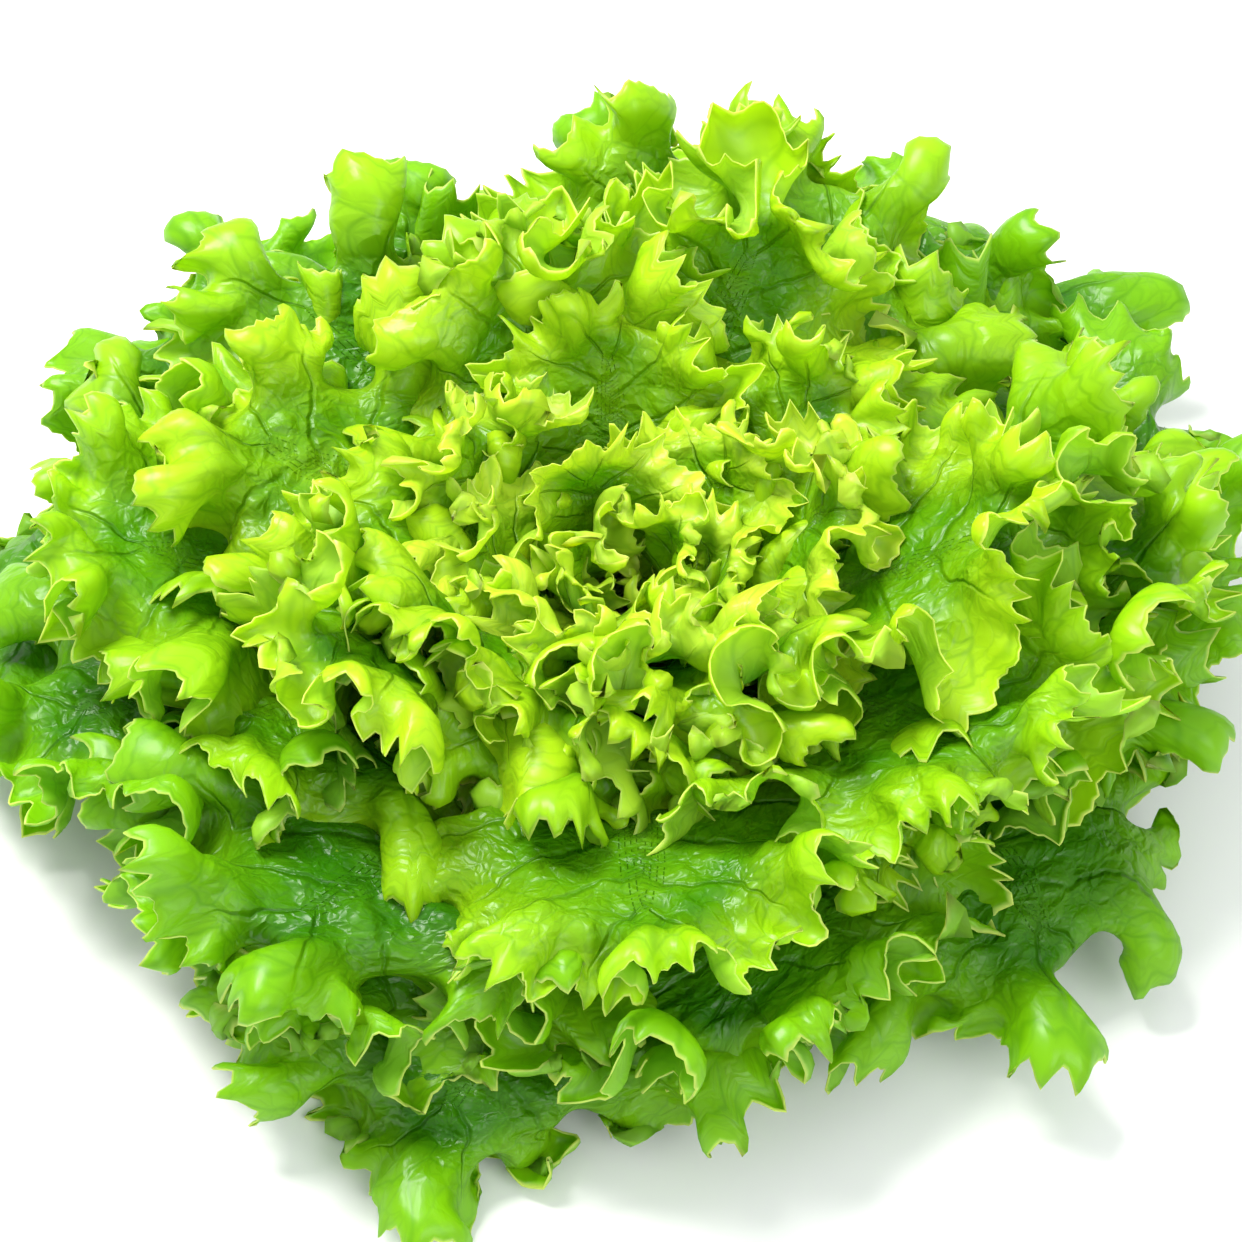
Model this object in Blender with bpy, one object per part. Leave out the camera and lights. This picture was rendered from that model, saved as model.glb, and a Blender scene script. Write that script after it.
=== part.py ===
"""Curly endive head: a wide rosette of leaves round a short cut stem, each leaf a solid of its own.

Every leaf lies on its own shell of revolution. The shells are nested like the coats of an onion: the
outermost lies almost flat and droops to the table, the innermost stands upright. Leaves follow each
other round the stem at the golden angle, as they grow, from the outside in. The even rosette is then
settled as a whole: it leans to its front, stands higher at its back and is a little lumpy all round.
The head stands on the cut face of its stem, with that face's centre at the origin and its axis on Z.
"""

import math

import bmesh
import bpy

MM = 0.001
GOLDEN_ANGLE = math.radians(137.508)

# The stem: a stump, cut flat below, that the leaves grow out of.
STEM_CUT_RADIUS = 15.0 * MM
STEM_RADIUS = 23.0 * MM
STEM_TOP_RADIUS = 4.5 * MM
STEM_SHOULDER_HEIGHT = 7.0 * MM
STEM_HEIGHT = 32.0 * MM
STEM_SIDES = 36
STEM_GAP = 0.5 * MM

# The head's outline: leaf tips stand on a dome of this radius and rise, with a dip over its heart.
DOME_RADIUS = 178.0 * MM
DOME_RISE = 118.0 * MM
DOME_FOOT = 5.0 * MM
DOME_START = math.radians(1.0)
DOME_SWEEP = math.radians(85.0)
HEART_DIP = 0.36

# The leaves, from the outside in: how many there are of each kind.
LEAF_KINDS = (("outer_leaf", 14), ("middle_leaf", 14), ("inner_leaf", 12), ("heart_leaf", 10))
LEAF_COUNT = sum(count for _, count in LEAF_KINDS)
FIRST_AZIMUTH = math.radians(-96.0)
LOWEST_BASE = 7.0 * MM
HIGHEST_BASE = 29.0 * MM

# Slope of a leaf where it leaves the stem and at its tip, outermost and innermost, in degrees.
BASE_SLOPE = (14.0, 86.0)
TIP_SLOPE = (-46.0, 84.0)
BASE_HANDLE = 0.42
TIP_HANDLE = 0.36

# Widths and thicknesses, outermost and innermost.
HALF_WIDTH = (84.0 * MM, 25.0 * MM)
MOST_WRAP = 1.4
BASE_HALF_ANGLE = math.radians(24.0)
RIB_THICKNESS = (3.0 * MM, 0.9 * MM)
BLADE_SHARE = 0.34
ROWS = 6
COLUMNS = 6

# One leaf differs from the next by up to these shares, or these angles. A few over the front have
# lengths of their own, counted from the outermost leaf, 0: three short ones that bare a broad one.
WIDTH_SPREAD = 0.14
SHORTEST = 0.80
LONGEST = 1.02
OWN_LENGTHS = {21: 1.0, 26: 0.66, 29: 0.68, 34: 0.74}
AZIMUTH_SPREAD = math.radians(9.0)
SIDE_BEND = math.radians(12.0)
TIP_ROUNDING = 0.17

# How the whole head leans to its front (-Y), stands higher at its back, and how uneven it is: each lump
# is (how many round the head, where it starts, its share of the height or of the radius).
LEAN = 0.32
BACK_START = 25.0 * MM
BACK_REACH = 60.0 * MM
BACK_LIFT = 0.34
LUMPS_FROM = (30.0 * MM, 150.0 * MM)
HEIGHT_LUMPS = ((2, 0.6, 0.04), (3, 2.1, 0.05), (5, 0.9, 0.045))
WIDTH_LUMPS = ((1, 0.0, 0.08), (2, 1.57, 0.035), (3, 0.4, 0.015), (4, 2.3, 0.02))

COLOURS = {
    "outer_leaf": (0.13, 0.36, 0.03),
    "middle_leaf": (0.24, 0.48, 0.04),
    "inner_leaf": (0.42, 0.62, 0.07),
    "heart_leaf": (0.62, 0.74, 0.16),
    "stem": (0.72, 0.78, 0.48),
}


def clear_scene():
    for old in list(bpy.data.objects):
        bpy.data.objects.remove(old)


def make_material(name, roughness):
    material = bpy.data.materials.new(name)
    material.use_nodes = True
    shader = material.node_tree.nodes["Principled BSDF"]
    shader.inputs["Base Color"].default_value = (*COLOURS[name], 1.0)
    shader.inputs["Roughness"].default_value = roughness
    shader.inputs["Metallic"].default_value = 0.0
    return material


def add_object(name, mesh, material):
    made = bpy.data.objects.new(name, mesh)
    made.data.materials.append(material)
    bpy.context.scene.collection.objects.link(made)
    return made


def between(pair, share):
    """The value a share of the way from the outermost leaf's to the innermost's."""
    return pair[0] + (pair[1] - pair[0]) * share


def wobble(leaf, trait):
    """A fixed number from -1 to 1 that differs from leaf to leaf and from trait to trait."""
    return 2.0 * ((math.sin(12.9898 * leaf + 78.233 * trait) * 43758.5453) % 1.0) - 1.0


def smooth_step(low, high, value):
    share = min(1.0, max(0.0, (value - low) / (high - low)))
    return share * share * (3.0 - 2.0 * share)


def waves(lumps, angle):
    return sum(size * math.sin(count * angle + start) for count, start, size in lumps)


def settle(radius, angle, height):
    """A point of the even rosette, moved as the head leans, swells and sinks unevenly."""
    grown = smooth_step(*LUMPS_FROM, radius)
    high = height * (1.0 + grown * waves(HEIGHT_LUMPS, angle))
    wide = radius * (1.0 + grown * waves(WIDTH_LUMPS, angle))
    x, y = wide * math.cos(angle), wide * math.sin(angle)
    back = max(0.0, y - BACK_START)
    high += BACK_LIFT * back**2 / (back + BACK_REACH)
    return x, y - LEAN * high, high


def stem_radius(height):
    """The stump's radius at a height: it swells to its shoulder, then tapers to its top."""
    if height < STEM_SHOULDER_HEIGHT:
        share = height / STEM_SHOULDER_HEIGHT
        return STEM_CUT_RADIUS + (STEM_RADIUS - STEM_CUT_RADIUS) * math.sin(share * math.pi / 2)
    share = (height - STEM_SHOULDER_HEIGHT) / (STEM_HEIGHT - STEM_SHOULDER_HEIGHT)
    return STEM_RADIUS + (STEM_TOP_RADIUS - STEM_RADIUS) * share


def make_stem(material):
    """The stump, turned from its outline, closed at its top by a small dome, and leaning like the head."""
    heights = (0.0, 0.3, 0.65, 1.0)
    outline = [(stem_radius(h * STEM_SHOULDER_HEIGHT), h * STEM_SHOULDER_HEIGHT) for h in heights]
    outline += [(STEM_TOP_RADIUS, STEM_HEIGHT), (0.55 * STEM_TOP_RADIUS, STEM_HEIGHT + 2.0 * MM)]
    bm = bmesh.new()
    points = [bm.verts.new((radius, 0.0, height)) for radius, height in outline]
    edges = [bm.edges.new(pair) for pair in zip(points, points[1:])]
    bmesh.ops.spin(
        bm,
        geom=points + edges,
        cent=(0.0, 0.0, 0.0),
        axis=(0.0, 0.0, 1.0),
        angle=math.tau,
        steps=STEM_SIDES,
        use_merge=True,
    )
    bmesh.ops.holes_fill(bm, edges=[edge for edge in bm.edges if edge.is_boundary], sides=0)
    bmesh.ops.recalc_face_normals(bm, faces=bm.faces)
    for vertex in bm.verts:
        vertex.co.y -= LEAN * vertex.co.z
    mesh = bpy.data.meshes.new("stem")
    bm.to_mesh(mesh)
    bm.free()
    mesh.shade_smooth()
    mesh.set_sharp_from_angle(angle=math.radians(40.0))
    return add_object("stem", mesh, material)


def shell_curve(share):
    """The four control points (radius, height) of the shell of the leaf at this share."""
    height = LOWEST_BASE + (HIGHEST_BASE - LOWEST_BASE) * share**0.9
    foot = (stem_radius(height) + STEM_GAP, height)
    climb = DOME_START + DOME_SWEEP * share**0.95
    rise = DOME_RISE * (1.0 - HEART_DIP * smooth_step(0.62, 1.0, share))
    tip = (DOME_RADIUS * math.cos(climb), DOME_FOOT + rise * math.sin(climb))
    chord = math.hypot(tip[0] - foot[0], tip[1] - foot[1])
    rise = math.radians(between(BASE_SLOPE, share**0.8))
    fall = math.radians(between(TIP_SLOPE, share**0.75))
    near = (foot[0] + BASE_HANDLE * chord * math.cos(rise), foot[1] + BASE_HANDLE * chord * math.sin(rise))
    far = (tip[0] - TIP_HANDLE * chord * math.cos(fall), tip[1] - TIP_HANDLE * chord * math.sin(fall))
    return foot, near, far, tip


def on_curve(controls, along):
    """(radius, height) of the cubic curve at along, which is 0 at the stem and 1 at the dome."""
    weights = (
        (1.0 - along) ** 3,
        3.0 * along * (1.0 - along) ** 2,
        3.0 * along**2 * (1.0 - along),
        along**3,
    )
    return tuple(sum(w * point[axis] for w, point in zip(weights, controls)) for axis in (0, 1))


def half_width(share, leaf, along, radius):
    """A leaf's half width: a narrow base that clasps the stem, and a broad rounded blade."""
    base = BASE_HALF_ANGLE * min(radius, STEM_RADIUS)
    blade = between(HALF_WIDTH, share**1.2) * (1.0 + WIDTH_SPREAD * wobble(leaf, 1))
    broad = smooth_step(0.10, 0.74, along) * (1.0 - 0.18 * smooth_step(0.78, 1.0, along))
    return min(base + (blade - base) * broad, MOST_WRAP * radius)


def make_leaf(name, leaf, material):
    """A leaf: a grid laid on its shell, thickened most along its midrib."""
    share = leaf / (LEAF_COUNT - 1)
    controls = shell_curve(share)
    length = LONGEST - (LONGEST - SHORTEST) * (0.5 + 0.5 * wobble(leaf, 2)) ** 1.5
    length = OWN_LENGTHS.get(leaf, length)
    azimuth = FIRST_AZIMUTH + leaf * GOLDEN_ANGLE + AZIMUTH_SPREAD * wobble(leaf, 3)
    bend = SIDE_BEND * wobble(leaf, 4)

    bm = bmesh.new()
    bmesh.ops.create_grid(bm, x_segments=COLUMNS, y_segments=ROWS, size=1.0)
    layer = bm.verts.layers.deform.new("thickness")
    for vertex in bm.verts:
        across, along = vertex.co.x, (vertex.co.y + 1.0) / 2.0
        reach = length * along * (1.0 - TIP_ROUNDING * across**2 * along**2)
        radius, height = on_curve(controls, reach)
        angle = azimuth + bend * along**2 + across * half_width(share, leaf, along, radius) / radius
        vertex.co = settle(radius, angle, height)
        rib = (1.0 - abs(across)) * (1.0 - smooth_step(0.25, 0.95, along))
        vertex[layer][0] = BLADE_SHARE + (1.0 - BLADE_SHARE) * rib
    mesh = bpy.data.meshes.new(name)
    bm.to_mesh(mesh)
    bm.free()
    mesh.shade_smooth()

    made = add_object(name, mesh, material)
    made.vertex_groups.new(name="thickness")
    thicken = made.modifiers.new("Thickness", "SOLIDIFY")
    thicken.thickness = between(RIB_THICKNESS, share**0.7)
    thicken.vertex_group = "thickness"
    thicken.offset = 0.0
    return made


def main():
    clear_scene()
    make_stem(make_material("stem", 0.5))
    leaf = 0
    for kind, count in LEAF_KINDS:
        material = make_material(kind, 0.4)
        for number in range(1, count + 1):
            make_leaf(f"{kind}_{number:02d}", leaf, material)
            leaf += 1


main()
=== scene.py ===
"""Curly endive head: the finished leaves and cut stem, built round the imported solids.

Each leaf starts as a flat fan of rays that run from its midrib to its margin. The fan is laid on the leaf's
shell, its margin is cut into teeth, curled, and thrown into frills of three sizes, each on the back of the
last. The sheet then gets its thickness, most of it along the midrib.
"""

import math

import bmesh
import bpy
import numpy as np
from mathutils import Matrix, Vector


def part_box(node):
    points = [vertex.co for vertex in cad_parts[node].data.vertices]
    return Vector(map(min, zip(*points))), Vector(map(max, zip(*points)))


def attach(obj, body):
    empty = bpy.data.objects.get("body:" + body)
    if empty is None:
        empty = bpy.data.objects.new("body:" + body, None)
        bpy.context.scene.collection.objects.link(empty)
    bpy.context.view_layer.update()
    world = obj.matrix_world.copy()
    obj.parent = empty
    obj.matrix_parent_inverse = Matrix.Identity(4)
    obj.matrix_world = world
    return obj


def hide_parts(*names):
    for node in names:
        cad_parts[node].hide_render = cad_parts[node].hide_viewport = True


bl_info = {
    "name": "Curly endive head",
    "version": (1, 0, 0),
    "blender": (4, 5, 0),
    "location": "3D View > Sidebar > Endive",
    "description": "Builds a head of curly endive: frilled leaves round a cut stem, on a pale table",
    "category": "Add Mesh",
}

MM = 0.001

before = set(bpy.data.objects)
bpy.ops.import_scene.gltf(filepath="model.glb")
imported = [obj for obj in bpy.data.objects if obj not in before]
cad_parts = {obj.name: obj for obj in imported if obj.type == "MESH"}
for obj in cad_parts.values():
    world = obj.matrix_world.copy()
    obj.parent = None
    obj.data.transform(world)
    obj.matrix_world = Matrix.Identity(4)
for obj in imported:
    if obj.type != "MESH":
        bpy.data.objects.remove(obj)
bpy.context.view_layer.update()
STEM_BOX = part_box("stem")

KINDS = ("outer_leaf", "middle_leaf", "inner_leaf", "heart_leaf")
LEAVES = [name for kind in KINDS for name in sorted(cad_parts) if name.startswith(kind)]

# How the solids grow: the same rule as theirs, so that each finished leaf lies where its solid does.
GOLDEN_ANGLE = math.radians(137.508)
FIRST_AZIMUTH = math.radians(-96.0)
STEM_RADIUS = STEM_BOX[1].x
STEM_TOP_RADIUS = 4.5 * MM
STEM_SHOULDER_HEIGHT = 7.0 * MM
STEM_TAPER_HEIGHT = 32.0 * MM
STEM_GAP = 0.5 * MM
DOME_RADIUS = 178.0 * MM
DOME_RISE = 118.0 * MM
DOME_FOOT = 5.0 * MM
DOME_START = math.radians(1.0)
DOME_SWEEP = math.radians(85.0)
DOME_PACE = 0.95
HEART_DIP = 0.36
LOWEST_BASE = 7.0 * MM
HIGHEST_BASE = 29.0 * MM
BASE_SLOPE = (14.0, 86.0)
TIP_SLOPE = (-46.0, 84.0)
BASE_HANDLE = 0.42
TIP_HANDLE = 0.36
HALF_WIDTH = (84.0 * MM, 25.0 * MM)
MOST_WRAP = 1.4
BASE_HALF_ANGLE = math.radians(24.0)
WIDTH_SPREAD = 0.14
SHORTEST = 0.80
LONGEST = 1.02
OWN_LENGTHS = {21: 1.0, 26: 0.66, 29: 0.68, 34: 0.74}
AZIMUTH_SPREAD = math.radians(9.0)
SIDE_BEND = math.radians(12.0)

# How the whole head leans to its front (-Y) and stands higher at its back.
LEAN = 0.32
BACK_START = 25.0 * MM
BACK_REACH = 60.0 * MM
BACK_LIFT = 0.34
HEIGHT_LUMPS = ((2, 0.6, 0.04), (3, 2.1, 0.05), (5, 0.9, 0.045))
WIDTH_LUMPS = ((1, 0.0, 0.08), (2, 1.57, 0.035), (3, 0.4, 0.015), (4, 2.3, 0.02))

# A blade's outline ends this share along its solid, because its teeth and frills reach further out.
BLADE_REACH = 0.972

# Leaves with smoother blades than their neighbours, and how much of the usual frill they keep.
SMOOTH_LEAVES = {16: 0.75, 18: 0.75, 21: 0.6, 24: 0.8, 38: 0.6, 43: 0.6, 46: 0.35}

# The fan: where along the leaf it is widest, and how much of its margin is the rounded end.
WIDEST = 0.66
ROUND_END = 0.50
RAY_ROOT = 0.60
TIP_ROOT = 0.26


def between(pair, share):
    """The value a share of the way from the outermost leaf's to the innermost's."""
    return pair[0] + (pair[1] - pair[0]) * share


def wobble(leaf, trait):
    """A fixed number from -1 to 1 that differs from leaf to leaf and from trait to trait."""
    return 2.0 * ((math.sin(12.9898 * leaf + 78.233 * trait) * 43758.5453) % 1.0) - 1.0


def smooth_step(low, high, values):
    share = np.clip((np.asarray(values, float) - low) / (high - low), 0.0, 1.0)
    return share * share * (3.0 - 2.0 * share)


def drift(leaf, trait, places, wave):
    """A smooth uneven wave from about -1 to 1 along places, different for each leaf and trait."""
    total = np.zeros_like(places)
    for part, (stretch, weight) in enumerate(((1.0, 0.5), (0.618, 0.3), (1.93, 0.35))):
        start = math.pi * wobble(leaf, trait + 0.37 * part)
        total += weight * np.sin(math.tau * places / (wave * stretch) + start)
    return total


def run_along(points):
    """The distance travelled along a row of points, at each of them."""
    return np.concatenate(([0.0], np.cumsum(np.linalg.norm(np.diff(points, axis=0), axis=1))))


def unit(vectors):
    return vectors / np.maximum(np.linalg.norm(vectors, axis=-1, keepdims=True), 1e-12)


def waves(lumps, angle):
    return sum(size * np.sin(count * angle + start) for count, start, size in lumps)


def settle(radius, angle, height):
    """Points of the even rosette, moved as the head leans, swells and sinks unevenly."""
    grown = smooth_step(30.0 * MM, 150.0 * MM, radius)
    high = height * (1.0 + grown * waves(HEIGHT_LUMPS, angle))
    wide = radius * (1.0 + grown * waves(WIDTH_LUMPS, angle))
    x, y = wide * np.cos(angle), wide * np.sin(angle)
    back = np.maximum(0.0, y - BACK_START)
    high = high + BACK_LIFT * back**2 / (back + BACK_REACH)
    return np.stack((x, y - LEAN * high, high), axis=-1)


class LeafForm:
    """Where one leaf lies: the rule of the solids for the leaf of this number, counted from the outside in."""

    def __init__(self, leaf):
        self.leaf = leaf
        self.share = leaf / (len(LEAVES) - 1)
        length = LONGEST - (LONGEST - SHORTEST) * (0.5 + 0.5 * wobble(leaf, 2)) ** 1.5
        self.length = BLADE_REACH * OWN_LENGTHS.get(leaf, length)
        self.azimuth = FIRST_AZIMUTH + leaf * GOLDEN_ANGLE + AZIMUTH_SPREAD * wobble(leaf, 3)
        self.bend = SIDE_BEND * wobble(leaf, 4)
        self.blade = between(HALF_WIDTH, self.share**1.2) * (1.0 + WIDTH_SPREAD * wobble(leaf, 1))
        self.controls = self.shell_curve()
        steps = np.linspace(0.0, self.length, 60)
        run = np.stack(self.curve_at(steps), axis=-1)
        self.arc = float(np.linalg.norm(np.diff(run, axis=0), axis=1).sum())

    def shell_curve(self):
        share = self.share
        height = LOWEST_BASE + (HIGHEST_BASE - LOWEST_BASE) * share**0.9
        taper = (height - STEM_SHOULDER_HEIGHT) / (STEM_TAPER_HEIGHT - STEM_SHOULDER_HEIGHT)
        foot = (STEM_RADIUS + (STEM_TOP_RADIUS - STEM_RADIUS) * taper + STEM_GAP, height)
        climb = DOME_START + DOME_SWEEP * share**DOME_PACE
        rise = DOME_RISE * (1.0 - HEART_DIP * float(smooth_step(0.62, 1.0, share)))
        tip = (DOME_RADIUS * math.cos(climb), DOME_FOOT + rise * math.sin(climb))
        chord = math.hypot(tip[0] - foot[0], tip[1] - foot[1])
        rise = math.radians(between(BASE_SLOPE, share**0.8))
        fall = math.radians(between(TIP_SLOPE, share**0.75))
        near = (foot[0] + BASE_HANDLE * chord * math.cos(rise), foot[1] + BASE_HANDLE * chord * math.sin(rise))
        far = (tip[0] - TIP_HANDLE * chord * math.cos(fall), tip[1] - TIP_HANDLE * chord * math.sin(fall))
        return foot, near, far, tip

    def curve_at(self, reach):
        """(radius, height) of the shell's cubic at reach, an array of shares of it."""
        weights = ((1 - reach) ** 3, 3 * reach * (1 - reach) ** 2, 3 * reach**2 * (1 - reach), reach**3)
        return tuple(sum(w * point[axis] for w, point in zip(weights, self.controls)) for axis in (0, 1))

    def half_width(self, along):
        radius = self.curve_at(self.length * along)[0]
        base = BASE_HALF_ANGLE * np.minimum(radius, STEM_RADIUS)
        broad = smooth_step(0.10, 0.74, along) * (1.0 - 0.18 * smooth_step(0.78, 1.0, along))
        return np.minimum(base + (self.blade - base) * broad, MOST_WRAP * radius)

    def on_shell(self, along, aside):
        """Points of the shell at these shares of the leaf's length and distances beside its midrib."""
        radius, height = self.curve_at(self.length * along)
        angle = self.azimuth + self.bend * along**2 + np.clip(aside / radius, -1.7, 1.7)
        return settle(radius, angle, height)


class Fan:
    """A leaf's rays, flat: columns of points from the midrib (row 0) to the margin (last row)."""

    def __init__(self, form, turns, rows):
        dense = np.linspace(-1.0, 1.0, 1601)
        along, across = self.outline(dense)
        edge = np.stack((across * form.half_width(along), along * form.arc), axis=-1)
        run = run_along(edge)
        self.turn = turns[:, None]
        self.edge_run = np.interp(turns, dense, run)[:, None]
        self.edge_along, edge_across = self.outline(self.turn)
        ratio = np.linspace(0.0, 1.0, rows + 1)[None, :]
        self.out = 1.0 - (1.0 - ratio) ** 1.45
        arc = np.clip(np.abs(self.turn) / ROUND_END, 0.0, 1.0) * math.pi / 2
        root = RAY_ROOT * self.edge_along + TIP_ROOT * np.cos(arc) ** 2
        self.along = root + (self.edge_along - root) * self.out
        self.across = edge_across * self.out**0.92
        self.aside = self.across * form.half_width(self.along)

    @staticmethod
    def outline(turn):
        """(along, across) of the margin: turn is 0 at the tip, -1 and 1 at the leaf's two base corners."""
        size = np.abs(turn)
        arc = np.clip(size / ROUND_END, 0.0, 1.0) * math.pi / 2
        side = np.clip((size - ROUND_END) / (1.0 - ROUND_END), 0.0, 1.0)
        along = np.where(size > ROUND_END, WIDEST * (1.0 - side), WIDEST + (1.0 - WIDEST) * np.cos(arc) ** 0.85)
        return along, np.sign(turn) * np.sin(arc) ** 0.9


def surface_frame(points):
    """Unit vectors at each point of a fan: outwards along its ray, along the margin, and up from its face."""
    out = unit(np.gradient(points, axis=1))
    beside = np.gradient(points, axis=0)
    up = unit(np.cross(out, beside))
    return out, np.cross(up, out), up


def calm(vectors, times):
    """Vectors averaged with their neighbours along the margin this many times."""
    for _ in range(times):
        ahead = np.concatenate((vectors[1:], vectors[-1:]))
        behind = np.concatenate((vectors[:1], vectors[:-1]))
        vectors = unit(0.25 * ahead + 0.5 * vectors + 0.25 * behind)
    return vectors


def add_curl(points, fan, angles, start):
    """Turns the outer part of each ray out of the leaf's plane by its column's angle."""
    out, _, up = surface_frame(points)
    steps = np.linalg.norm(np.diff(points, axis=1), axis=2)
    lean = angles * smooth_step(start, 1.0, (fan.out[:, 1:] + fan.out[:, :-1]) / 2)
    none = np.zeros((len(points), 1))
    back = np.concatenate((none, np.cumsum(steps * (np.cos(lean) - 1.0), axis=1)), axis=1)
    lift = np.concatenate((none, np.cumsum(steps * np.sin(lean), axis=1)), axis=1)
    return points + back[..., None] * out + lift[..., None] * up


def add_frill(points, fan, leaf, trait, wave, height, start, sharp, fade, calming=0):
    """Throws the margin into folds a wave long, which grow from start towards the margin."""
    _, beside, up = surface_frame(points)
    up = calm(up, calming)
    beside = calm(beside, calming)
    places = fan.edge_run
    phase = math.tau * places / wave + 0.9 * drift(leaf, trait, places, 2.3 * wave)
    phase = phase + 0.6 * drift(leaf, trait + 2, places, 5.0 * wave) * (1.0 - fan.out)
    tall = height * (1.0 + 0.40 * drift(leaf, trait + 1, places, 2.9 * wave))
    grow = tall * smooth_step(start, 1.0, fan.out) ** sharp * fade
    meander = grow**2 * (math.tau / wave) / 6.5
    return points + (grow * np.cos(phase))[..., None] * up + (meander * np.sin(2 * phase))[..., None] * beside


def tooth_lengths(margin, leaf, spacing, depth):
    """How far the margin stands out along its run: sharp teeth with hollows between, and finer ones among them."""
    count = margin / spacing + 0.55 * drift(leaf, 21, margin, 4.1 * spacing)
    peak = 1.0 - np.abs(2.0 * (count % 1.0) - 1.0)
    teeth = peak**1.9 * (1.0 + 0.55 * drift(leaf, 22, margin, 2.2 * spacing))
    fine = 1.0 - np.abs(2.0 * ((margin / (0.34 * spacing)) % 1.0) - 1.0)
    return depth * (teeth + 0.22 * fine**1.4)


def ruffled(form, look, fan, teeth):
    """The points of a fan laid on its shell, curled, thrown into frills and cut into teeth."""
    leaf, share = form.leaf, form.share
    fade = smooth_step(0.08, 0.36, fan.edge_along)
    points = form.on_shell(fan.along, fan.aside)
    span = fan.edge_run[-1, 0]
    lean = math.radians(look.curl) * (0.6 + wobble(leaf, 31))
    lean = lean + math.radians(look.curl_spread) * drift(leaf, 32, fan.edge_run, span / 2.3)
    points = add_curl(points, fan, lean * fade, 0.30)

    wave = between((60.0 * MM, 27.0 * MM), share**0.7)
    frill = between((0.24, 0.33), smooth_step(0.05, 0.5, share)) * look.frill
    frill = frill * (1.0 - 0.4 * smooth_step(0.75, 1.0, share)) * SMOOTH_LEAVES.get(leaf, 1.0)
    points = add_frill(points, fan, leaf, 41, wave, frill * wave, 0.25, 1.1, fade)
    _, _, up = surface_frame(points)
    swell = blisters(leaf, fan.aside, fan.along * form.arc) * smooth_step(0.0, 0.15, fan.out)
    points = points + (look.blister * swell * (1.0 - 0.6 * fan.out))[..., None] * up
    wave /= 2.5
    points = add_frill(points, fan, leaf, 51, wave, 1.10 * frill * wave, 0.50, 1.2, fade, 24)
    wave /= 2.2
    points = add_frill(points, fan, leaf, 61, wave, 0.8 * frill * wave, 0.74, 1.3, fade, 6)
    out, _, _ = surface_frame(points)
    points = points + (teeth * fade * smooth_step(0.70, 1.0, fan.out) ** 1.3)[..., None] * calm(out, 4)

    floor = 0.9 * MM
    soft = 5.0 * MM
    low = points[..., 2]
    points[..., 2] = np.where(low < soft, floor + (soft - floor) * np.exp((low - soft) / (soft - floor)), low)
    return points


def leaf_points(form, look, columns, rows):
    """Every point of one leaf's upper face, and what its materials need to know there."""
    dense = np.linspace(-1.0, 1.0, 1601)
    rough = ruffled(form, look, Fan(form, dense, rows), 0.0)
    margin = run_along(rough[:, -1])
    even = (margin + margin[-1] - margin[::-1]) / 2
    turns = np.interp(np.linspace(0.0, even[-1], columns + 1), even, dense)
    turns = (turns - turns[::-1]) / 2
    fan = Fan(form, turns, rows)
    margin = np.interp(fan.turn, dense, margin)
    spacing = between((13.0 * MM, 9.0 * MM), form.share)
    teeth = tooth_lengths(margin, form.leaf, spacing, between((6.5 * MM, 5.5 * MM), form.share))
    points = ruffled(form, look, fan, teeth)
    shape = fan.along.shape
    facts = {
        "flat": np.stack((fan.aside, fan.along * form.arc, np.full(shape, 0.1 * form.leaf)), axis=-1),
        "out": np.broadcast_to(fan.out, shape),
        "along": fan.along,
        "rib": rib_weight(form, fan.aside, fan.along),
        "turn": np.broadcast_to(fan.turn, shape),
    }
    return points, facts


def blisters(leaf, aside, along):
    """Uneven swellings of the blade, about 1 high, some 15 mm across."""
    total = np.zeros_like(aside)
    for part in range(7):
        heading = math.pi * wobble(leaf, 70 + part)
        wave = (13.0 + 6.0 * wobble(leaf, 80 + part)) * MM
        place = aside * math.cos(heading) + along * math.sin(heading)
        total += np.sin(math.tau * place / wave + 6.0 * wobble(leaf, 90 + part))
    return total / 2.6


def rib_weight(form, aside, along):
    """1 on the midrib at the leaf's base, falling to 0 beside it and towards the tip."""
    half = (between((9.0, 4.0), form.share) * (1.0 - 0.85 * smooth_step(0.0, 0.85, along)) + 0.6) * MM
    return np.exp(-((aside / half) ** 2)) * (1.0 - 0.94 * smooth_step(0.05, 0.85, along))


def make_leaf_mesh(name, form, look, columns, rows):
    """The leaf's sheet: a grid whose points are moved to the fan's and joined along the midrib."""
    points, facts = leaf_points(form, look, columns, rows)
    mesh = bpy.data.meshes.new(name)
    bm = bmesh.new()
    bmesh.ops.create_grid(bm, x_segments=rows, y_segments=columns, size=1.0)
    bm.to_mesh(mesh)
    bm.free()
    mesh.vertices.foreach_set("co", points.astype(np.float32).ravel())
    for fact, values in facts.items():
        kind = "FLOAT_VECTOR" if values.ndim == 3 else "FLOAT"
        layer = mesh.attributes.new(fact, kind, "POINT")
        layer.data.foreach_set("vector" if values.ndim == 3 else "value", values.astype(np.float32).ravel())
    bm = bmesh.new()
    bm.from_mesh(mesh)
    deform = bm.verts.layers.deform.verify()
    seam = list(bm.verts)[:: rows + 1]
    thick = np.clip(facts["rib"].ravel(), look.blade / look.rib, 1.0)
    for vertex, weight in zip(bm.verts, thick):
        vertex[deform][0] = weight
    bmesh.ops.remove_doubles(bm, verts=seam, dist=1e-6)
    for face in bm.faces:
        face.smooth = True
    bm.to_mesh(mesh)
    bm.free()
    return mesh


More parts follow.
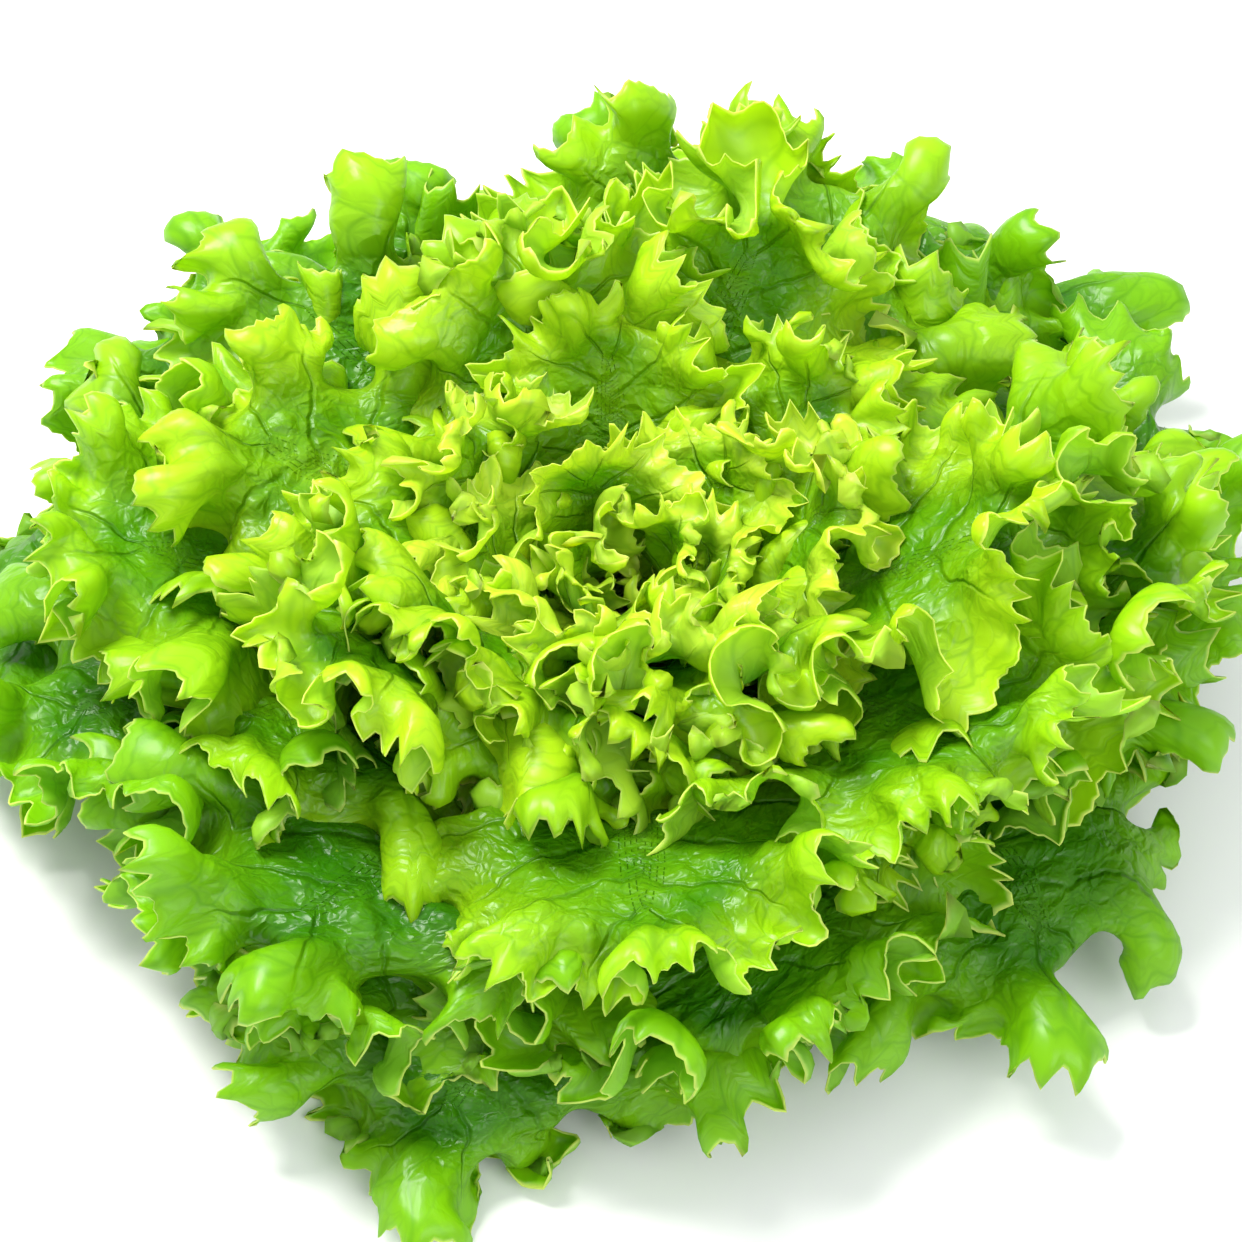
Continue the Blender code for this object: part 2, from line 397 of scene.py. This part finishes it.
def make_leaf(name, look, materials):
    form = LeafForm(LEAVES.index(name))
    rim = 1.0 - form.share
    columns = 2 * int(210 + 150 * min(1.0, 1.6 * rim))
    rows = int(12 + 4 * rim)
    mesh = make_leaf_mesh(name + "_blade", form, look, columns, rows)
    piece = bpy.data.objects.new(name + "_blade", mesh)
    bpy.context.scene.collection.objects.link(piece)
    for material in materials:
        mesh.materials.append(material)
    piece.vertex_groups.new(name="thickness")
    thicken = piece.modifiers.new("Thickness", "SOLIDIFY")
    thicken.thickness = look.rib * between((1.0, 0.4), form.share)
    thicken.vertex_group = "thickness"
    thicken.offset = -1.0
    thicken.material_offset = 1
    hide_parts(name)
    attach(piece, "root")
    return piece


class NodeSketch:
    """Short ways to add and join a material's nodes."""

    def __init__(self, name):
        self.material = bpy.data.materials.new(name)
        self.material.use_nodes = True
        self.tree = self.material.node_tree
        self.shader = self.tree.nodes["Principled BSDF"]
        self.output = self.tree.nodes["Material Output"]

    def node(self, kind, inputs=(), **settings):
        made = self.tree.nodes.new(kind)
        for key, value in settings.items():
            setattr(made, key, value)
        for key, value in dict(inputs).items():
            self.plug(value, made.inputs[key])
        return made

    def plug(self, value, socket):
        if isinstance(value, bpy.types.NodeSocket):
            self.tree.links.new(value, socket)
        else:
            socket.default_value = value

    def math(self, operation, a, b=0.0, clamp=False):
        return self.node("ShaderNodeMath", {0: a, 1: b}, operation=operation, use_clamp=clamp).outputs[0]

    def ramp(self, value, low, high, start=0.0, end=1.0):
        """value from low to high, smoothly, as start to end."""
        made = self.node(
            "ShaderNodeMapRange", {0: value, 1: low, 2: high, 3: start, 4: end}, interpolation_type="SMOOTHSTEP"
        )
        return made.outputs[0]

    def mix(self, share, a, b, blend="MIX"):
        made = self.node("ShaderNodeMix", {0: share, 6: a, 7: b}, data_type="RGBA", blend_type=blend)
        return made.outputs[2]

    def fact(self, name, output="Fac"):
        return self.node("ShaderNodeAttribute", attribute_name=name, attribute_type="GEOMETRY").outputs[output]


def leaf_material(name, colours, under):
    """A leaf's skin: green deepening from margin to midrib, a pale rim, ribs, painted shade near its base and a net of
    veins darkened with painted shade.
    """
    sketch = NodeSketch(name)
    flat = sketch.fact("flat", "Vector")
    out, along, rib, turn = (sketch.fact(key) for key in ("out", "along", "rib", "turn"))

    cloud = sketch.node("ShaderNodeTexNoise", {"Vector": flat, "Scale": 38.0, "Detail": 3.0}).outputs["Fac"]
    stir = sketch.node("ShaderNodeTexNoise", {"Vector": flat, "Scale": 90.0, "Detail": 2.0}).outputs["Color"]
    stir = sketch.node("ShaderNodeVectorMath", {0: stir, 3: 0.008}, operation="SCALE").outputs[0]
    bent = sketch.node("ShaderNodeVectorMath", {0: flat, 1: stir}, operation="ADD").outputs[0]
    cells = {"Vector": bent, "Scale": 125.0, "Randomness": 0.85}
    net = sketch.node("ShaderNodeTexVoronoi", cells, feature="DISTANCE_TO_EDGE").outputs["Distance"]
    cells = {"Vector": bent, "Scale": 380.0, "Randomness": 1.0}
    fine = sketch.node("ShaderNodeTexVoronoi", cells, feature="DISTANCE_TO_EDGE").outputs["Distance"]
    # Painted shade: the net of veins and the finest veins are masked here to darken the colour, as if their grooves lay
    # in shade.
    vein_shade = sketch.ramp(net, 0.0, 0.06, 1.0, 0.0)
    fine_shade = sketch.ramp(fine, 0.0, 0.10, 1.0, 0.0)

    sway = sketch.math("MULTIPLY", sketch.math("SUBTRACT", cloud, 0.5), 0.14)
    lane = sketch.math("FRACT", sketch.math("MULTIPLY", sketch.math("ADD", turn, sway), 8.0))
    lane = sketch.math("ABSOLUTE", sketch.math("SUBTRACT", lane, 0.5))
    width = sketch.ramp(out, 0.0, 0.9, 0.12, 0.02)
    lateral = sketch.ramp(sketch.math("DIVIDE", lane, width), 0.0, 1.0, 1.0, 0.0)
    lateral = sketch.math("MULTIPLY", lateral, sketch.ramp(out, 0.55, 0.90, 1.0, 0.0))

    body = sketch.mix(sketch.ramp(cloud, 0.30, 0.72), colours["deep"], colours["fresh"])
    body = sketch.mix(sketch.ramp(out, 0.30, 0.95), body, colours["light"])
    # Painted shade: near its base, deep in the head, the blade goes towards one mid green, which darkens all but the
    # outer leaves.
    body = sketch.mix(sketch.ramp(along, 0.04, 0.40, 0.6, 0.0), body, colours["base"])
    body = sketch.mix(sketch.ramp(rib, 0.10, 0.60, 0.0, 0.8), body, colours["rib"])
    # Painted shade: the veins, the lateral veins and the finest veins darken the body colour, standing in for the shade
    # in their grooves.
    groove_shade = sketch.math("MAXIMUM", sketch.math("MULTIPLY", vein_shade, 0.55), sketch.math("MULTIPLY", lateral, 0.7))
    groove_shade = sketch.math("MULTIPLY", sketch.math("MAXIMUM", groove_shade, sketch.math("MULTIPLY", fine_shade, 0.25)), 0.75)
    body = sketch.mix(groove_shade, body, sketch.mix(1.0, body, colours["vein_shade"], "MULTIPLY"))
    body = sketch.mix(sketch.ramp(out, 0.984, 1.0, 0.0, 0.65), body, colours["rim"])
    if under:
        body = sketch.mix(0.25, body, colours["under"])
    sketch.plug(body, sketch.shader.inputs["Base Color"])

    puff = sketch.math("ADD", sketch.ramp(net, 0.0, 0.42), sketch.math("MULTIPLY", sketch.ramp(fine, 0.0, 0.4), 0.22))
    height = sketch.math("SUBTRACT", puff, sketch.math("MULTIPLY", lateral, 0.9))
    height = sketch.math("ADD", height, sketch.math("MULTIPLY", cloud, 0.8))
    height = sketch.math("MULTIPLY", height, sketch.ramp(out, 0.70, 1.0, 1.0, 0.35))
    bump = sketch.node("ShaderNodeBump", {"Height": height, "Strength": 0.75, "Distance": 0.0011})
    bump.invert = under
    sketch.plug(bump.outputs[0], sketch.shader.inputs["Normal"])

    shader = sketch.shader
    sketch.plug(sketch.ramp(cloud, 0.2, 0.8, 0.27, 0.40) if not under else 0.45, shader.inputs["Roughness"])
    shader.inputs["Specular IOR Level"].default_value = 0.40
    glow = sketch.mix(1.0, body, colours["glow"], "MULTIPLY")
    through = sketch.node("ShaderNodeBsdfTranslucent", {"Color": glow, "Normal": bump.outputs[0]})
    both = sketch.node("ShaderNodeMixShader", {0: 0.45, 1: shader.outputs[0], 2: through.outputs[0]})
    sketch.plug(both.outputs[0], sketch.output.inputs["Surface"])
    return sketch.material


GREENS = {
    "outer_leaf": {"deep": (0.040, 0.22, 0.002), "fresh": (0.11, 0.36, 0.002), "light": (0.24, 0.54, 0.004)},
    "middle_leaf": {"deep": (0.06, 0.28, 0.001), "fresh": (0.17, 0.44, 0.002), "light": (0.38, 0.66, 0.008)},
    "inner_leaf": {"deep": (0.08, 0.32, 0.001), "fresh": (0.24, 0.51, 0.002), "light": (0.50, 0.74, 0.015)},
    "heart_leaf": {"deep": (0.14, 0.40, 0.002), "fresh": (0.34, 0.60, 0.005), "light": (0.62, 0.80, 0.05)},
}
PALES = {
    "rim": (0.78, 0.84, 0.26),
    "rib": (0.36, 0.55, 0.09),
    # Painted shade: the green near each leaf's base, deep in the head.
    "base": (0.10, 0.29, 0.005),
    # Painted shade: the colour that the vein lines are multiplied by, for the shade in their grooves.
    "vein_shade": (0.40, 0.62, 0.30),
    "under": (0.30, 0.50, 0.10),
    "glow": (1.65, 1.4, 0.2),
}


def stem_material():
    """Pale flesh with upright fibres, browned and ringed where it was cut."""
    sketch = NodeSketch("stem_flesh")
    place = sketch.node("ShaderNodeTexCoord").outputs["Object"]
    axes = sketch.node("ShaderNodeSeparateXYZ", {0: place}).outputs
    flat = sketch.node("ShaderNodeCombineXYZ", {0: axes[0], 1: axes[1], 2: 0.0}).outputs[0]
    reach = sketch.node("ShaderNodeVectorMath", {0: flat}, operation="LENGTH").outputs["Value"]
    fibres = {"Vector": sketch.node("ShaderNodeVectorMath", {0: place, 1: (900.0, 900.0, 60.0)}, operation="MULTIPLY").outputs[0]}
    fibres = sketch.node("ShaderNodeTexNoise", {**fibres, "Scale": 1.0, "Detail": 3.0}).outputs["Fac"]
    cut = sketch.ramp(axes[2], 0.0002, 0.0012, 1.0, 0.0)
    ring = sketch.math("SINE", sketch.math("MULTIPLY", reach, 1700.0))
    ring = sketch.math("MULTIPLY", sketch.math("MULTIPLY", ring, 0.25), cut)
    flesh = sketch.mix(fibres, (0.46, 0.56, 0.22, 1.0), (0.74, 0.78, 0.50, 1.0))
    brown = sketch.mix(sketch.math("ADD", fibres, ring), (0.40, 0.25, 0.10, 1.0), (0.72, 0.62, 0.38, 1.0))
    core = sketch.ramp(reach, 0.004, 0.011, 0.35, 0.9)
    sketch.plug(sketch.mix(sketch.math("MULTIPLY", cut, core), flesh, brown), sketch.shader.inputs["Base Color"])
    height = sketch.math("ADD", fibres, ring)
    bump = sketch.node("ShaderNodeBump", {"Height": height, "Strength": 0.6, "Distance": 0.0006})
    sketch.plug(bump.outputs[0], sketch.shader.inputs["Normal"])
    sketch.plug(sketch.ramp(fibres, 0.2, 0.8, 0.40, 0.62), sketch.shader.inputs["Roughness"])
    return sketch.material


def leaf_materials(kind):
    colours = {key: (*value, 1.0) for key, value in {**GREENS[kind], **PALES}.items()}
    return [leaf_material(kind + "_upper", colours, False), leaf_material(kind + "_under", colours, True)]


class EndiveLeafLook(bpy.types.PropertyGroup):
    blade: bpy.props.FloatProperty(
        name="Blade thickness", description="Thickness of the leaf away from its ribs", default=0.5 * MM, unit="LENGTH"
    )
    rib: bpy.props.FloatProperty(
        name="Rib thickness", description="Thickness of the midrib where it leaves the stem", default=5.0 * MM, unit="LENGTH"
    )
    frill: bpy.props.FloatProperty(
        name="Frill height", description="Height of the folds, 1 as grown", default=1.0, subtype="FACTOR"
    )
    blister: bpy.props.FloatProperty(
        name="Blister height", description="How far the blade swells between its veins", default=1.1 * MM, unit="LENGTH"
    )
    curl: bpy.props.FloatProperty(
        name="Curl", description="How far margins turn up on average, in degrees", default=-28.0
    )
    curl_spread: bpy.props.FloatProperty(
        name="Curl spread", description="How much the curl differs along a margin, in degrees", default=48.0
    )


class EndiveStageLook(bpy.types.PropertyGroup):
    elevation: bpy.props.FloatProperty(
        name="Camera height", description="Angle of the camera above the table, in degrees", default=46.5
    )
    distance: bpy.props.FloatProperty(
        name="Camera distance", description="From the camera to the middle of the head", default=0.77, unit="LENGTH"
    )
    lens: bpy.props.FloatProperty(name="Lens", description="Focal length of the lens in millimetres", default=89.5)


class ENDIVE_OT_add_stem(bpy.types.Operator):
    """Finish the cut stem that the leaves grow from"""

    bl_idname = "endive.add_stem"
    bl_label = "Cut stem"

    def execute(self, context):
        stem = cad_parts["stem"]
        stem.data.materials.clear()
        stem.data.materials.append(stem_material())
        return {"FINISHED"}


class LeafGroup:
    """What the four leaf operators share."""

    kind = ""

    def execute(self, context):
        look = context.scene.endive_leaves
        materials = leaf_materials(self.kind)
        for name in LEAVES:
            if name.startswith(self.kind):
                make_leaf(name, look, materials)
        return {"FINISHED"}


class ENDIVE_OT_add_outer_leaves(LeafGroup, bpy.types.Operator):
    """Add the broad dark leaves that spread over the table"""

    bl_idname = "endive.add_outer_leaves"
    bl_label = "Outer leaves"
    kind = "outer_leaf"


class ENDIVE_OT_add_middle_leaves(LeafGroup, bpy.types.Operator):
    """Add the green leaves above the outer ones"""

    bl_idname = "endive.add_middle_leaves"
    bl_label = "Middle leaves"
    kind = "middle_leaf"


class ENDIVE_OT_add_inner_leaves(LeafGroup, bpy.types.Operator):
    """Add the yellow-green leaves round the heart"""

    bl_idname = "endive.add_inner_leaves"
    bl_label = "Inner leaves"
    kind = "inner_leaf"


class ENDIVE_OT_add_heart_leaves(LeafGroup, bpy.types.Operator):
    """Add the small pale leaves of the heart"""

    bl_idname = "endive.add_heart_leaves"
    bl_label = "Heart leaves"
    kind = "heart_leaf"


def add_light(name, place, target, size, power, colour):
    lamp = bpy.data.lights.new(name, "AREA")
    lamp.shape = "DISK"
    lamp.size = size
    lamp.energy = power
    lamp.color = colour
    light = bpy.data.objects.new(name, lamp)
    light.location = place
    light.rotation_euler = (Vector(target) - Vector(place)).to_track_quat("-Z", "Y").to_euler()
    bpy.context.scene.collection.objects.link(light)


class ENDIVE_OT_add_stage(bpy.types.Operator):
    """Add the pale table, the soft lights and the camera"""

    bl_idname = "endive.add_stage"
    bl_label = "Table, lights and camera"

    def execute(self, context):
        look = context.scene.endive_stage
        scene = context.scene
        scene.view_settings.view_transform = "Standard"

        bm = bmesh.new()
        bmesh.ops.create_grid(bm, x_segments=1, y_segments=1, size=4.0)
        mesh = bpy.data.meshes.new("table")
        bm.to_mesh(mesh)
        bm.free()
        table = bpy.data.objects.new("table", mesh)
        table.location.z = -0.2 * MM
        scene.collection.objects.link(table)
        sketch = NodeSketch("table_white")
        sketch.shader.inputs["Base Color"].default_value = (0.93, 0.93, 0.93, 1.0)
        sketch.shader.inputs["Roughness"].default_value = 0.7
        mesh.materials.append(sketch.material)

        world = bpy.data.worlds.new("soft_room")
        scene.world = world
        world.use_nodes = True
        sky = world.node_tree.nodes["Background"]
        sky.inputs["Color"].default_value = (0.97, 0.99, 1.0, 1.0)
        sky.inputs["Strength"].default_value = 0.86

        middle = Vector((0.0, -0.017, 0.040))
        add_light("high_soft_box", (-0.5, 0.35, 1.3), middle, 0.7, 34.0, (1.0, 0.99, 0.95))
        add_light("front_soft_box", (0.7, -1.1, 0.9), middle, 0.9, 10.0, (0.97, 0.99, 1.0))

        lens = bpy.data.cameras.new("camera")
        lens.lens = look.lens
        lens.sensor_width = 36.0
        camera = bpy.data.objects.new("camera", lens)
        tilt = math.radians(look.elevation)
        camera.location = middle + look.distance * Vector((0.0, -math.cos(tilt), math.sin(tilt)))
        camera.rotation_euler = (middle - camera.location).to_track_quat("-Z", "Y").to_euler()
        scene.collection.objects.link(camera)
        scene.camera = camera
        return {"FINISHED"}


class ENDIVE_PT_panel(bpy.types.Panel):
    """Lists the parts of the head"""

    bl_idname = "ENDIVE_PT_panel"
    bl_label = "Curly endive head"
    bl_space_type = "VIEW_3D"
    bl_region_type = "UI"
    bl_category = "Endive"

    def draw(self, context):
        for look in (context.scene.endive_leaves, context.scene.endive_stage):
            for name in look.__annotations__:
                self.layout.prop(look, name)
        for operator in OPERATORS:
            self.layout.operator(operator.bl_idname)


OPERATORS = (
    ENDIVE_OT_add_stage,
    ENDIVE_OT_add_stem,
    ENDIVE_OT_add_outer_leaves,
    ENDIVE_OT_add_middle_leaves,
    ENDIVE_OT_add_inner_leaves,
    ENDIVE_OT_add_heart_leaves,
)
CLASSES = (EndiveLeafLook, EndiveStageLook, *OPERATORS, ENDIVE_PT_panel)


def register():
    for item in CLASSES:
        bpy.utils.register_class(item)
    bpy.types.Scene.endive_leaves = bpy.props.PointerProperty(type=EndiveLeafLook)
    bpy.types.Scene.endive_stage = bpy.props.PointerProperty(type=EndiveStageLook)


def unregister():
    del bpy.types.Scene.endive_stage
    del bpy.types.Scene.endive_leaves
    for item in reversed(CLASSES):
        bpy.utils.unregister_class(item)


def main():
    register()
    bpy.ops.endive.add_stage()
    bpy.ops.endive.add_stem()
    bpy.ops.endive.add_outer_leaves()
    bpy.ops.endive.add_middle_leaves()
    bpy.ops.endive.add_inner_leaves()
    bpy.ops.endive.add_heart_leaves()


if __name__ == "__main__":
    main()
